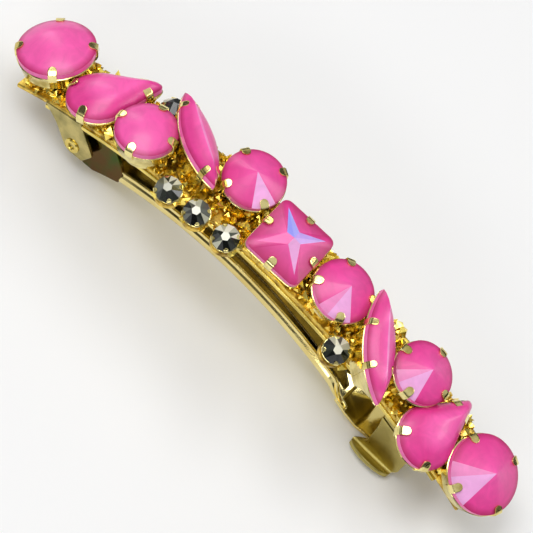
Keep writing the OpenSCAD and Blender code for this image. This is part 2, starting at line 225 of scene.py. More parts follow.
def gold(name, bright, deep, roughness, patch=180, grain=2600, bump=0.05):
    """Gold plate: broad patches between a bright and a deep tone, finer grain in its roughness and bump."""
    finish = bpy.data.materials.new(name)
    finish.use_nodes = True
    nodes, links = finish.node_tree.nodes, finish.node_tree.links
    shader = nodes["Principled BSDF"]
    shader.inputs["Metallic"].default_value = 1
    where = nodes.new("ShaderNodeTexCoord")
    broad = nodes.new("ShaderNodeTexNoise")
    broad.inputs["Scale"].default_value = patch
    broad.inputs["Detail"].default_value = 3
    tone = nodes.new("ShaderNodeValToRGB")
    tone.color_ramp.elements[0].position, tone.color_ramp.elements[0].color = 0.32, (*deep, 1)
    tone.color_ramp.elements[1].position, tone.color_ramp.elements[1].color = 0.56, (*bright, 1)
    fine = nodes.new("ShaderNodeTexNoise")
    fine.inputs["Scale"].default_value = grain
    fine.inputs["Detail"].default_value = 4
    polish = nodes.new("ShaderNodeMapRange")
    polish.inputs["To Min"].default_value = roughness * 0.6
    polish.inputs["To Max"].default_value = roughness * 1.5
    dents = nodes.new("ShaderNodeBump")
    dents.inputs["Strength"].default_value = bump
    dents.inputs["Distance"].default_value = 0.0002
    for texture in (broad, fine):
        links.new(where.outputs["Object"], texture.inputs["Vector"])
    links.new(broad.outputs["Fac"], tone.inputs["Fac"])
    links.new(tone.outputs["Color"], shader.inputs["Base Color"])
    links.new(fine.outputs["Fac"], polish.inputs["Value"])
    links.new(polish.outputs["Result"], shader.inputs["Roughness"])
    links.new(fine.outputs["Fac"], dents.inputs["Height"])
    links.new(dents.outputs["Normal"], shader.inputs["Normal"])
    return finish


def bowed(profile, centre_x, centre_z, radius, degrees):
    """A section carried round an arch: the point (height, y) of the profile at angle a lands at
    x = centre_x + (radius + height) sin a, z = centre_z + (radius + height) cos a."""
    a = np.radians(np.asarray(degrees, float))[:, None]
    high, across = profile[:, 0][None], profile[:, 1][None]
    return grid_of(centre_x + (radius + high) * np.sin(a), across, centre_z + (radius + high) * np.cos(a))


def arch_degrees(along):
    """The arch's angle at a length measured along the girdles' arch."""
    return np.degrees(np.asarray(along, float) / GIRDLE_R)


def round_corners(outline, radius, steps=5):
    """A closed outline with each corner cut by a curve: points go from radius before the corner to radius
    after it on the parabola (1-t)^2 A + 2t(1-t) C + t^2 B."""
    outline = np.asarray(outline, float)
    before, after = np.roll(outline, 1, 0) - outline, np.roll(outline, -1, 0) - outline
    most = 0.45  # of a side that one corner may take up
    a, b = [
        outline + side * np.minimum(radius / np.linalg.norm(side, axis=1), most)[:, None]
        for side in (before, after)
    ]
    t = np.linspace(0, 1, steps)[None, :, None]
    curve = (1 - t) ** 2 * a[:, None] + 2 * t * (1 - t) * outline[:, None] + t * t * b[:, None]
    return curve.reshape(-1, 2)


def slabs(name, outline, spans):
    """A mesh of flat slabs: an (x, z) outline stood between each pair of y values and closed."""
    walls, ends = [], []
    for span in spans:
        wall = grid_of(outline[:, 0], np.reshape(span, (2, 1)), outline[:, 1])
        walls.append((wall, False, True))
        ends += list(wall)
    return surface_mesh(name, walls, ends)


plate_gold = gold("plate gold", GOLD_LEMON, GOLD_OLIVE, 0.16)
plate_half, plate_sheet, plate_reach = 5.4, 0.7, 44
rim_low = -0.8  # how far down the rolled edges come
plate_side = np.array([
    [0, plate_half - 0.4], [-0.1, plate_half - 0.1], [-0.35, plate_half], [rim_low, plate_half - 0.05],
    [rim_low, plate_half - 0.3], [-plate_sheet, plate_half - plate_sheet],
])
plate_section = np.vstack([plate_side, plate_side[::-1] * [1, -1]])
plate_degrees = arch_degrees(np.linspace(-plate_reach, plate_reach, 120))
plate_strip = bowed(plate_section, 0, -GIRDLE_R, PLATE_TOP_R, plate_degrees)
strip_mesh = surface_mesh("plate_strip", [(plate_strip, False, True)], [plate_strip[0], plate_strip[-1]])
piece(close_up(strip_mesh), "base", plate_gold, "gold_sheet", ["top_plate"], bevel=0.06)

pin_spot = np.array([-33.8, -16.8])
ear_round = np.radians(np.linspace(-70, -142, 12))
ear_line = round_corners(np.vstack([
    [[-41.0, -13.0], [-34.2, -10.7], [-30.2, -15.6], [-31.3, -18.3]],
    pin_spot + polar(1.9, ear_round), [[-37.9, -15.1]],
]), 0.3, 3)
ear_spans = ((-plate_half, plate_sheet - plate_half), (plate_half - plate_sheet, plate_half))
ear_mesh = slabs("hinge_ears", ear_line, ear_spans)
ear_gold = gold("ear gold", (0.62, 0.52, 0.2), (0.3, 0.26, 0.09), 0.2, patch=320)
piece(close_up(ear_mesh), "base", ear_gold, "gold_sheet", bevel=0.15)

# ---- Hinge pin ----
# A hollow pin of rolled brass passes through both ears and the lever, and its ends are spread into low
# collars that keep it in.
pin_gold = gold("pin gold", GOLD_LEMON, (0.4, 0.28, 0.06), 0.2)
pin_end = plate_half + 0.3
pin_half = np.array([
    [0.6, 0.1 - pin_end], [0.7, -pin_end], [1.15, -pin_end], [1.3, 0.12 - pin_end], [1.26, -plate_half],
    [1.0, -plate_half],
])
pin_line = np.vstack([pin_half, pin_half[::-1] * [1, -1]])
pin_turn = np.linspace(0, 2 * math.pi, 40, endpoint=False)[:, None]
pin_skin = grid_of(
    pin_spot[0] + pin_line[:, 0] * np.cos(pin_turn), pin_line[:, 1],
    pin_spot[1] + pin_line[:, 0] * np.sin(pin_turn),
)
piece(close_up(surface_mesh("pin", [(pin_skin, True, True)])), "base", pin_gold, "gold_pin", ["hinge_pin"])

# ---- Lever ----
# The clasp's lower arm is a channel of 0.6 mm sheet, rolled round the pin at one end and pressed flat
# into a tongue at the other, with a window that the catches snap through.
# The lever's gold is lifted pale, near lemon white: a painted reflection of the white table in its sides,
# over tones that vary at random.
lever_gold_painted_pale = gold("lever gold painted pale", (1.0, 0.86, 0.38), (0.8, 0.6, 0.16), 0.1, patch=90, bump=0.02)
LEVER_X, LEVER_Z, LEVER_R = -3, -80.3, 66
trough_side = np.array([
    [3.4, 3.84], [3.28, 3.98], [3.08, 3.98], [2.9, 3.84], [2.55, 3.62], [2.2, 3.66], [1.95, 3.95],
    [1.2, 4.0], [0.7, 3.92], [0.35, 3.65], [0.1, 3.3], [0, 2.8], [0, 1.4],
])
trough = np.vstack([trough_side * [1, -1], [[0, 0]], trough_side[::-1]])
lever_angles = np.degrees(np.arcsin((np.linspace(-28.8, 22.5, 90) - LEVER_X) / LEVER_R))
channel = bowed(trough, LEVER_X, LEVER_Z, LEVER_R, lever_angles)
# Toward the tongue the channel's sides sink almost flat, along a smooth step
fade_from, fade_over = 19.5, 3.0
fade = np.clip((channel[:, :1, 0] - fade_from) / fade_over, 0, 1)
fade = fade * fade * (3 - 2 * fade)
arch_height = np.hypot(channel[..., 0] - LEVER_X, channel[..., 2] - LEVER_Z) - LEVER_R
channel[..., 2] -= 0.93 * fade * np.maximum(arch_height - 0.2, 0)
channel_mesh = surface_mesh("lever_channel", [(channel, False, False)])
piece(channel_mesh, "lever", lever_gold_painted_pale, "gold_sheet", ["lever"], wall=0.45, side=1)

window_from, window_to, window_half = 29.9, 34.4, 1.5
tongue_from, tongue_to = 21.5, 35.9
tongue_bend = 26.4  # up to here the tongue follows the lever's arch, and then runs straight
tongue_x = np.unique(np.concatenate([
    np.linspace(tongue_from, window_from, 22), np.linspace(window_from, window_to, 10),
    np.linspace(window_to, tongue_to, 8),
]))
tongue_y = np.array([-1, -0.85, -0.7, -0.5, -0.25, 0, 0.25, 0.5, 0.7, 0.85, 1])
tongue_side = np.array([
    [tongue_from, 4.05], [24, 4.05], [26.5, 3.7], [29.6, 3.3], [34.2, 3.0], [35.1, 2.6], [35.6, 2.1],
    [tongue_to, 1.4],
])
half_wide = np.interp(tongue_x, *tongue_side.T)
tongue_z = np.where(
    tongue_x < tongue_bend, LEVER_Z + np.sqrt(LEVER_R ** 2 - (tongue_x - LEVER_X) ** 2) + 0.04,
    -21.2 - 0.0677 * (tongue_x - tongue_bend),
)
tongue = grid_of(tongue_x[:, None], half_wide[:, None] * tongue_y, tongue_z[:, None])
beside = (tongue_x >= window_from - 1e-6) & (tongue_x <= window_to + 1e-6)
arm_y = window_half + (half_wide[beside][:, None] - window_half) * np.linspace(0, 1, 5)
arms = [grid_of(tongue_x[beside][:, None], side * arm_y, tongue_z[beside][:, None]) for side in (-1, 1)]
first, last = np.flatnonzero(beside)[[0, -1]]
tongue_parts = [(part, False, False) for part in (tongue[: first + 1], tongue[last:], *arms)]
tongue_mesh = surface_mesh("lever_tongue", tongue_parts)
close_up(tongue_mesh, 0.01)
piece(tongue_mesh, "lever", lever_gold_painted_pale, "gold_sheet", wall=0.66, side=0, bevel=0.1)

lug_round = np.radians(np.linspace(95, 250, 20))
lug_line = round_corners(np.vstack([
    pin_spot + polar(1.8, lug_round),
    [[-33.2, -18.3], [-32.4, -19.9], [-31.5, -20.6], [-29.5, -20.3], [-28.0, -19.35], [-25.0, -17.7]],
    [[-25.0, -14.9], [-28.2, -10.9], [-31.6, -12.2]],
]), 0.25, 3)
# The lugs are painted near black, brown with a green cast: a painted dark reflection, not the gold's own
# colour.
lug_painted_dark_reflection = gold("lug painted dark reflection", (0.12, 0.06, 0.01), (0.05, 0.1, 0.012), 0.14, patch=240, bump=0.02)
lug_mesh = slabs("lever_lugs", lug_line, ((-4.0, -3.4), (3.4, 4.0)))
piece(close_up(lug_mesh), "lever", lug_painted_dark_reflection, "gold_sheet", bevel=0.12)

curl = np.radians(np.linspace(350, 170, 40))
curl_line = np.vstack([
    [[-28.3, -18.95]], [[-31.0, -18.75]],
    pin_spot + 1.45 * np.column_stack([np.sin(curl), np.cos(curl)])[::-1],
])
curl_skin = grid_of(curl_line[:, :1], np.linspace(-3.6, 3.6, 7), curl_line[:, 1:])
curl_mesh = surface_mesh("lever_rolled_end", [(curl_skin, False, False)])
piece(curl_mesh, "lever", lever_gold_painted_pale, "gold_sheet", wall=0.4, side=0, bevel=0.1)

# ---- Tension spring ----
# A thin bowed leaf stands in the lever's channel, hooked in at the hinge end, and presses the hair up
# against the plate. Its free end is notched.
# The leaf is painted dark brown to black: painted shade and a painted dark reflection where it lies in the
# lever's channel.
leaf_painted_dark = gold("leaf painted dark", (0.32, 0.26, 0.13), (0.06, 0.05, 0.03), 0.12, patch=80)
LEAF_X, LEAF_Z, LEAF_R = -2.75, -61.85, 50.68
leaf_from = -27
leaf_across = np.linspace(-2.6, 2.6, 21)
leaf_end = 21.6 - 3.0 * np.clip(1 - np.abs(leaf_across) / 1.45, 0, 1)
leaf_share = np.linspace(0, 1, 80)[:, None]
leaf_x = leaf_from + (leaf_end - leaf_from) * leaf_share
leaf_z = LEAF_Z + np.sqrt(LEAF_R ** 2 - (leaf_x - LEAF_X) ** 2)
leaf_mesh = surface_mesh("leaf", [(grid_of(leaf_x, leaf_across, leaf_z), False, False)])
piece(leaf_mesh, "spring", leaf_painted_dark, "spring_leaf", ["tension_spring"], wall=0.35, side=0, bevel=0.06)

# ---- Squeeze clasp ----
# One spring sheet is riveted under the plate. A leg hangs from each of its edges and rolls outward at
# the bottom into a finger wing, and a catch on each leg reaches in and down through the lever's window.
wing_gold = gold("wing gold", (0.56, 0.47, 0.15), (0.36, 0.29, 0.08), 0.3, grain=500, bump=0.0)
# The sheet under the plate and its rivets keep their own shape and take the clasp's gold
for kept in ("clasp_bridge", "clasp_rivets"):
    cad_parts[kept].data.materials.clear()
    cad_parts[kept].data.materials.append(wing_gold)

leg_y, leg_top, leg_low, fold_r = 4.7, -12.7, -20.75, 0.75
clasp_middle = 32.3
fold = np.radians(np.linspace(0, 150, 14))
down = np.linspace(0, 1, 14)[:-1]
lip = np.linspace(0, 1, 9)[1:, None]
fold_line = np.column_stack([leg_y + fold_r - fold_r * np.cos(fold), leg_low - fold_r * np.sin(fold)])
leg_line = np.vstack([
    np.column_stack([np.full(len(down), leg_y), leg_top + (leg_low - leg_top) * down]),
    fold_line, fold_line[-1] + lip * [1.2, 0.7],
])
# How far down the leg each row is, from 0 at the plate to 1 at the wing's edge: the leg runs out into a
# wing past 0.44, and the wing's outline closes like a lens
travel = np.concatenate([down * 0.5, 0.5 + 0.18 * np.linspace(0, 1, 14), 0.68 + 0.32 * lip[:, 0]])
lens = np.sqrt(np.clip(1 - (np.clip(travel - 0.55, 0, 1) / 0.45) ** 2, 0.02, 1))
flare = np.clip((travel - 0.44) / 0.12, 0, 1)
leg_edge = np.interp(travel, [0, 0.12, 0.44], [28.7, 29.1, 29.3])
leg_from = np.where(travel < 0.44, leg_edge, 29.3 - 1.9 * flare)
leg_to = np.interp(travel, [0, 0.44, 0.56], [35.9, 35.9, 35.2])
wing_middle = (leg_from + leg_to) / 2
leg_from = wing_middle + (leg_from - wing_middle) * lens
leg_to = wing_middle + (leg_to - wing_middle) * lens
leg_share = np.linspace(0, 1, 25)
slant = np.clip(1 - travel / 0.5, 0, 1) * 0.34
leg_x = leg_from[:, None] + (leg_to - leg_from)[:, None] * leg_share
leg_z = leg_line[:, 1:] - slant[:, None] * (leg_x - clasp_middle)
catch_ends = {-1: (30.6, 31.9), 1: (32.4, 33.7)}
catch_shape = np.array([
    [4.7, -19.5], [0.6, -19.5], [0.6, -22.15], [1.42, -22.15], [1.32, -21.85], [1.05, -21.75], [1.05, -20.05],
    [4.7, -20.05],
])
for side, body in ((-1, "front_wing"), (1, "rear_wing")):
    leg = grid_of(leg_x, side * leg_line[:, :1], leg_z)
    leg_mesh = surface_mesh(body + "_leg", [(leg, False, False)])
    piece(leg_mesh, body, wing_gold, "gold_spring_sheet", [body], wall=0.6, side=0, bevel=0.1)
    catch = grid_of(np.reshape(catch_ends[side], (2, 1)), side * catch_shape[:, 0], catch_shape[:, 1])
    catch_mesh = surface_mesh(body + "_catch", [(catch, False, True)], list(catch))
    piece(close_up(catch_mesh), body, wing_gold, "gold_spring_sheet", bevel=0.06)

# ---- Stone bed ----
# A thin arched strip is soldered on the plate and carries every setting, with a round tab under each
# small stone. It is covered with crumbs of gilt metal that fill the gaps between the settings.
bed_gold = gold("bed gold", (0.85, 0.6, 0.12), (0.2, 0.11, 0.02), 0.3, patch=700, bump=0.3)
BED_R = 101.4
bed_half, bed_sheet, bed_reach = 5.2, 0.78, 50
# The small stones' seats, each [length along the arch, y, lift, degrees tipped outward]
DARK_SEATS = np.array([
    [-17.6, -6.9, -2.7, 22], [-11.9, -6.95, -2.6, 22], [-6.0, -6.9, -2.6, 24], [17.7, -6.9, -2.4, 22],
    [-26.9, 5.4, -2.6, -18],
])
bed_line = round_corners([
    [-bed_sheet, -bed_half], [-bed_sheet, bed_half], [0, bed_half], [0, -bed_half],
], 0.3)
bed = bowed(bed_line, 0, -GIRDLE_R, BED_R, arch_degrees(np.linspace(-bed_reach, bed_reach, 120)))
bed_mesh = surface_mesh("bed_strip", [(bed, False, True)], [bed[0], bed[-1]])
piece(close_up(bed_mesh), "base", bed_gold, "gold_bed", ["stone_base"])


def on_arch(along, y, lift):
    """The turn and the place of a point on the girdles' arch, lifted along its normal."""
    lean = turned("Y", float(arch_degrees(along)))
    return lean, lean @ np.array([0, 0, GIRDLE_R + lift]) + np.array([0, y, -GIRDLE_R])


def revolved(line, steps):
    """A (radius, height) line turned about Z: x = radius cos a, y = radius sin a."""
    a = np.linspace(0, 2 * math.pi, steps, endpoint=False)[:, None]
    return grid_of(line[:, 0] * np.cos(a), line[:, 0] * np.sin(a), line[:, 1])


tabs = []
tab_line = np.array([
    [0.01, -bed_sheet], [2.0, -bed_sheet], [2.1, -0.7], [2.1, -0.1], [2.0, -0.01], [0.01, -0.01],
])
for along, y, lift, tip in DARK_SEATS:
    lean, spot = on_arch(along, y * 0.96, BED_R - GIRDLE_R)
    tabs.append((revolved(tab_line, 36) @ lean.T + spot, True, True))
piece(close_up(surface_mesh("bed_tabs", tabs)), "base", bed_gold, "gold_bed")

# Each crumb is an eight-faced chip, squashed and turned at random. A sixth of them lie on the tabs.
crumb_gold = gold("crumb gold", (1.0, 0.8, 0.17), (0.75, 0.42, 0.04), 0.22, patch=900, bump=0.04)
draw = np.random.default_rng(11)
crumbs = 1900
on_tabs = crumbs // 6
crumb_along = draw.uniform(-49.4, 49.4, crumbs)
crumb_y = draw.uniform(-5.0, 5.0, crumbs)
tabbed = draw.integers(0, len(DARK_SEATS), on_tabs)
crumb_along[:on_tabs] = DARK_SEATS[tabbed, 0] + draw.normal(0, 1.1, on_tabs)
crumb_y[:on_tabs] = DARK_SEATS[tabbed, 1] * 0.93 + draw.normal(0, 0.7, on_tabs)
crumb_high = 0.15 + 2.0 * draw.random(crumbs) ** 1.6 * np.clip(1.15 - np.abs(crumb_y) / 6.5, 0.12, 1)
crumb_size = draw.uniform(0.4, 1.15, crumbs)
chip_shape = np.array([[1, 0, 0], [0, 1, 0], [-1, 0, 0], [0, -1, 0], [0, 0, 1], [0, 0, -1]], float)
chip_sides = np.array([
    [0, 1, 4], [1, 2, 4], [2, 3, 4], [3, 0, 4], [1, 0, 5], [2, 1, 5], [3, 2, 5], [0, 3, 5],
])
squash = draw.uniform(0.45, 1.2, (crumbs, 1, 3)) * crumb_size[:, None, None]
spin = draw.normal(size=(crumbs, 4))
w, x, y, z = (spin / np.linalg.norm(spin, axis=1, keepdims=True)).T
turns = np.stack([
    1 - 2 * (y * y + z * z), 2 * (x * y - z * w), 2 * (x * z + y * w),
    2 * (x * y + z * w), 1 - 2 * (x * x + z * z), 2 * (y * z - x * w),
    2 * (x * z - y * w), 2 * (y * z + x * w), 1 - 2 * (x * x + y * y),
], -1).reshape(-1, 3, 3)
chips = np.einsum("nij,nkj->nki", turns, chip_shape * squash)
crumb_angle = np.radians(arch_degrees(crumb_along))
crumb_r = BED_R + crumb_high
crumb_spots = grid_of(crumb_r * np.sin(crumb_angle), crumb_y, crumb_r * np.cos(crumb_angle) - GIRDLE_R)
chips += crumb_spots[:, None]
chip_faces = (chip_sides[None] + 6 * np.arange(crumbs)[:, None, None]).reshape(-1, 3)
crumb_mesh = bpy.data.meshes.new("gold_crumbs")
crumb_mesh.from_pydata(in_row(chips.reshape(-1, 3)).tolist(), [], chip_faces.tolist())
piece(crumb_mesh, "base", crumb_gold, "gold_bed", crease=5)

# ---- Pink stones ----
# Eleven foiled glass stones in opaque hot pink. The rounds have a low pointed crown of sixteen long
# facets; the drops, navettes and the square are cut to a ridge or a star. Each seat is [cut, length,
# width, length along the arch, y, lift, degrees pitched, tipped and turned, where its claws stand].
SEATS = (
    ("round", 12.2, 12.2, -46.6, 0.7, 0.3, 0, 1.5, 0, 35),
    ("drop", 15.6, 9.6, -34.1, 0.2, -1.0, -2, 0, 53, 0),
    ("round", 9.7, 9.7, -25.65, -3.15, 0.5, 0, 3, 0, 8),
    ("navette", 17.2, 5.2, -18.5, -0.15, 2.3, 8, -12, -36, 0.36),
    ("round", 9.8, 9.8, -9.1, 2.3, 0, 1, 6, 0, 59),
    ("square", 10, 10, 1.4, -1.6, 0, 2, 8, 3, 0),
    ("round", 9.8, 9.8, 11.95, -0.7, 0, 3, 2, 0, 32),
    ("navette", 17.6, 5.3, 21.3, -3.3, 1.5, 8, -5, -49, 0.19),
    ("round", 9.8, 9.8, 28.8, 0.4, 0.5, 0, 0, 0, 3),
    ("drop", 15.6, 9.6, 36.9, -1.9, -1.2, 0, 2, 84, 0),
    ("round", 12.2, 12.2, 46.7, -0.9, 0.2, -3, 4, 0, 72),
)
# For a round: where its facets start, then which facets carry a painted flash, a painted reflection, pale and
# bright
PAINTED_FLASHES = {
    0: (10, (), ()), 2: (5, (), ()), 4: (306, (), (0, 1)), 6: (256.5, (0,), (1, 2)),
    8: (226.5, (0,), (1, 2)), 10: (212.5, (0,), (1, 2)),
}
# PINK is the glass's own colour. The lighter pink is painted light on the crowns, the deep pink is painted
# shade toward the rims and underneath, and the flashes and the lilac are painted reflections on single
# facets.
PINK = np.array([0.82, 0.05, 0.31])
PINK_PAINTED_LIT = np.array([0.98, 0.11, 0.44])
PINK_PAINTED_SHADE = np.array([0.5, 0.012, 0.13])
PINK_GIRDLE = np.array([0.9, 0.15, 0.45])
PAINTED_FLASH_PALE = np.array([0.95, 0.28, 0.6])
PAINTED_FLASH = np.array([0.97, 0.45, 0.84])
LILAC_PAINTED_REFLECTION = np.array([0.42, 0.42, 1.0])
GIRDLE_HALF = 0.4


def foiled_glass(name, roughness, coat):
    """Glass over a painted foil: its colour comes from each facet's tint, which holds painted shade, painted
    highlights and painted reflections as well as the glass's own colour, clouded by faint streaks, under a
    clear polished coat with hair scratches."""
    finish = bpy.data.materials.new(name)
    finish.use_nodes = True
    nodes, links = finish.node_tree.nodes, finish.node_tree.links
    shader = nodes["Principled BSDF"]
    shader.inputs["Roughness"].default_value = roughness
    shader.inputs["IOR"].default_value = 1.52
    shader.inputs["Coat Weight"].default_value = coat
    shader.inputs["Coat Roughness"].default_value = 0.04
    where = nodes.new("ShaderNodeTexCoord")
    tint = nodes.new("ShaderNodeAttribute")
    tint.attribute_name = "tint_and_painted_light"
    cloud = nodes.new("ShaderNodeTexNoise")
    cloud.inputs["Scale"].default_value = 420
    cloud.inputs["Detail"].default_value = 5
    cloud.inputs["Distortion"].default_value = 1.2
    haze = nodes.new("ShaderNodeMapRange")
    haze.inputs["From Min"].default_value, haze.inputs["From Max"].default_value = 0.3, 0.75
    haze.inputs["To Min"].default_value, haze.inputs["To Max"].default_value = 0.9, 1.08
    shade = nodes.new("ShaderNodeVectorMath")
    shade.operation = "SCALE"
    hair = nodes.new("ShaderNodeTexNoise")
    hair.inputs["Scale"].default_value = 1400
    hair.inputs["Detail"].default_value = 2
    scratch = nodes.new("ShaderNodeBump")
    scratch.inputs["Strength"].default_value = 0.03
    scratch.inputs["Distance"].default_value = 0.0002
    links.new(where.outputs["Object"], cloud.inputs["Vector"])
    links.new(where.outputs["Object"], hair.inputs["Vector"])
    links.new(cloud.outputs["Fac"], haze.inputs["Value"])
    links.new(tint.outputs["Color"], shade.inputs[0])
    links.new(haze.outputs["Result"], shade.inputs["Scale"])
    links.new(shade.outputs["Vector"], shader.inputs["Base Color"])
    links.new(hair.outputs["Fac"], scratch.inputs["Height"])
    links.new(scratch.outputs["Normal"], shader.inputs["Normal"])
    return finish


def tinted_mesh(name, corners, faces, tints):
    """A mesh whose faces' corners each have a colour, in the order the faces list them."""
    mesh = bpy.data.meshes.new(name)
    mesh.from_pydata(in_row(corners).tolist(), [], faces)
    layer = mesh.attributes.new("tint_and_painted_light", "FLOAT_COLOR", "CORNER")
    flat = np.vstack([np.asarray(t, float).reshape(-1, 3) for t in tints])
    layer.data.foreach_set("color", np.column_stack([flat, np.ones(len(flat))]).ravel())
    return mesh


def seat_place(seat):
    """The turn and the place of a stone's girdle: leaned with the arch, pitched, rolled, and turned."""
    along, y, lift, pitch, tip, turn = seat[3:9]
    lean, spot = on_arch(along, y, lift)
    return lean @ turned("Y", pitch) @ turned("X", tip) @ turned("Z", turn), spot


def lifted(flat, high):
    """Flat (x, y) points at one height."""
    return np.column_stack([flat, np.full(len(flat), high)])


def rivoli(diameter, start, pale, bright):
    """A round stone's corners, faces and tints. The apex is girdle half + diameter / 4 high. A ring at 0.84
    of the radius stands a little above that cone, and short facets run from it to the round girdle."""
    radius, count, split = diameter / 2, 16, 4
    tall = GIRDLE_HALF + diameter / 4
    inner = 0.84
    ring = math.radians(start) + np.arange(count) * 2 * math.pi / count
    rim = math.radians(start) + np.arange(count * split) * 2 * math.pi / (count * split)
    ring_high = GIRDLE_HALF + (tall - GIRDLE_HALF) * (1 - inner) * 1.12
    corners = np.vstack([
        [[0, 0, tall]], lifted(polar(inner * radius, ring), ring_high),
        lifted(polar(radius, rim), GIRDLE_HALF), lifted(polar(radius, rim), -GIRDLE_HALF), [[0, 0, -tall]],
    ])
    total = count * split
    first_rim, first_low = 1 + count, 1 + count + total
    faces, tints = [], []
    for k in range(count):
        a, b = 1 + k, 1 + (k + 1) % count
        # Painted light: each crown facet is lit pink in the middle and painted darker toward the girdle, and
        # a flash facet is painted pale or bright as a painted reflection.
        flash = PAINTED_FLASH if k in bright else PAINTED_FLASH_PALE if k in pale else None
        middle = PINK_PAINTED_LIT if flash is None else flash
        outer = (PINK if bright else PINK_PAINTED_LIT * 0.94) if flash is None else flash * 0.96
        edge = PINK_PAINTED_SHADE if flash is None else flash * 0.85
        rims = [first_rim + (k * split + j) % total for j in range(split + 1)]
        faces.append([0, a, b])
        tints.append([middle, outer, outer])
        faces += [[a, rims[0], rims[1]], [a, rims[1], rims[2]], [a, rims[2], b]]
        faces += [[b, rims[2], rims[3]], [b, rims[3], rims[4]]]
        tints += [[outer, edge, edge]] * 2 + [[outer, edge, outer]] + [[outer, edge, edge]] * 2
    for j in range(total):
        n = (j + 1) % total
        faces.append([first_rim + j, first_low + j, first_low + n, first_rim + n])
        faces.append([first_low + j, len(corners) - 1, first_low + n])
        tints += [[PINK_GIRDLE] * 4, [PINK_PAINTED_SHADE] * 3]
    return corners, faces, tints


TIP_R = 0.75  # the round on a drop's tip


def drop_line(length, width, points):
    """A drop's outline: the round end and a small arc for the tip, joined by their tangents and centred."""
    a = width / 2
    tip = length - a
    rise = math.acos(a / tip)
    angles = np.linspace(rise, 2 * math.pi - rise, points * 2 // 3)
    arc = polar(a, angles)
    share = np.linspace(0, 1, points // 6 + 2)[1:-1, None]
    blunt = np.linspace(-rise, rise, 9)
    soft_tip = [tip - TIP_R * tip / a, 0] + polar(TIP_R, blunt)
    high_side = soft_tip[-1] + (arc[0] - soft_tip[-1]) * share
    low_side = arc[-1] + (soft_tip[0] - arc[-1]) * share
    line = np.vstack([soft_tip, high_side, arc, low_side])
    return line - [(length - width) / 2, 0]


def navette_line(length, width, points):
    """A navette's outline: two arcs through both tips."""
    r = (length ** 2 + width ** 2) / 4 / width
    half = math.asin(length / 2 / r)
    a = np.linspace(half, -half, points // 2, endpoint=False)
    top = np.column_stack([r * np.sin(a), r * np.cos(a) - r + width / 2])
    return np.vstack([top, -top])


def square_line(length):
    """A square outline with small round corners."""
    h = length / 2
    return round_corners([[h, h], [-h, h], [-h, -h], [h, -h]], 0.14 * length, 10)


OUTLINES = {"drop": drop_line, "navette": navette_line}
# For each fancy cut, rings of [share of the length, share of the width, height above the girdle, tint]; the
# tints grow lighter toward the top as a painted highlight, and the navette's top ring is a painted pale flash
RINGS = {
    "drop": (
        (0.9, 0.87, 0.62, PINK), (0.72, 0.66, 1.3, PINK), (0.5, 0.42, 1.85, PINK_PAINTED_LIT),
        (0.34, 0.2, 2.12, PINK_PAINTED_LIT),
    ),
    "navette": (
        (0.92, 0.8, 0.65, PINK), (0.8, 0.48, 1.3, PINK), (0.67, 0.1, 1.72, PINK_PAINTED_LIT),
        (0.66, 0.05, 1.78, PAINTED_FLASH_PALE),
    ),
}


def ringed(kind, length, width):
    """A domed fancy stone: its outline drawn in ring by ring to a closed table, and down to a keel."""
    line = OUTLINES[kind](length, width, 96)
    count = len(line)
    shift = 0.9 if kind == "drop" else 0
    rings = [(line * 0.15, -GIRDLE_HALF - 2.3, PINK_PAINTED_SHADE)]
    rings += [(line, -GIRDLE_HALF, PINK_GIRDLE), (line, GIRDLE_HALF, PINK_GIRDLE)]
    for long_share, wide_share, high, tint in RINGS[kind]:
        flat = line * [long_share, wide_share]
        rings.append((flat + [shift * (1 - np.ptp(flat[:, 0]) / length), 0], GIRDLE_HALF + high, tint))
    corners = np.vstack([lifted(flat, high) for flat, high, tint in rings])
    faces, tints = [list(range(count))[::-1]], [[PINK_PAINTED_SHADE] * count]
    for step in range(len(rings) - 1):
        low, high = rings[step][2], rings[step + 1][2]
        # Painted shade: the crown starts dark just above the girdle.
        if step == 2:
            low = PINK_PAINTED_SHADE
        lower, upper = step * count, (step + 1) * count
        for j in range(count):
            n = (j + 1) % count
            faces.append([lower + j, lower + n, upper + n, upper + j])
            tints.append([low, low, high, high])
    top = (len(rings) - 1) * count
    faces.append(list(range(top, top + count)))
    tints.append([rings[-1][2]] * count)
    return corners, faces, tints


